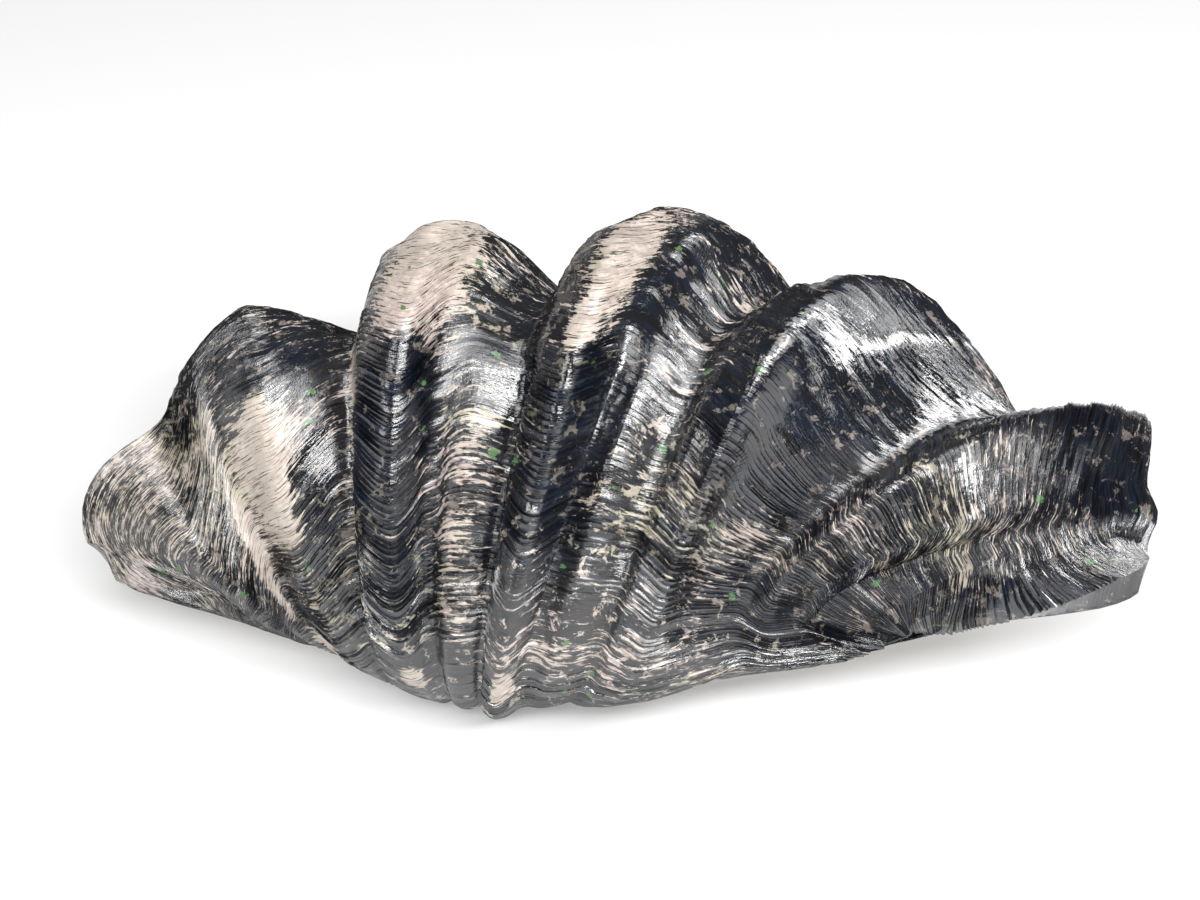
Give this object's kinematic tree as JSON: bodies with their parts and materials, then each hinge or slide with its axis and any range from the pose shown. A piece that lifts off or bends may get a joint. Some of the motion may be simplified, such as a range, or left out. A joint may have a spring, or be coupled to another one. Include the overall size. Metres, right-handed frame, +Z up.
{
  "type": "giant clam shell",
  "caption": "Giant clam valve with deep radial folds and a scalloped rim, lying hollow side down as a decorative piece.",
  "frame": {"origin": "centre of the bounding box's bottom, on the surface that the valve lies on", "axes": "+X along the valve from its left end to its right end, seen from the hinge side; +Z up; the hinge side and beak face -Y"},
  "size_m": [0.5576, 0.3562, 0.2107],
  "materials": {
    "shell": "glossy blackened shell with cream wear on the outside, smooth ivory inside"
  },
  "bodies": {
    "root": {"valve": "shell"}
  },
  "joints": []
}
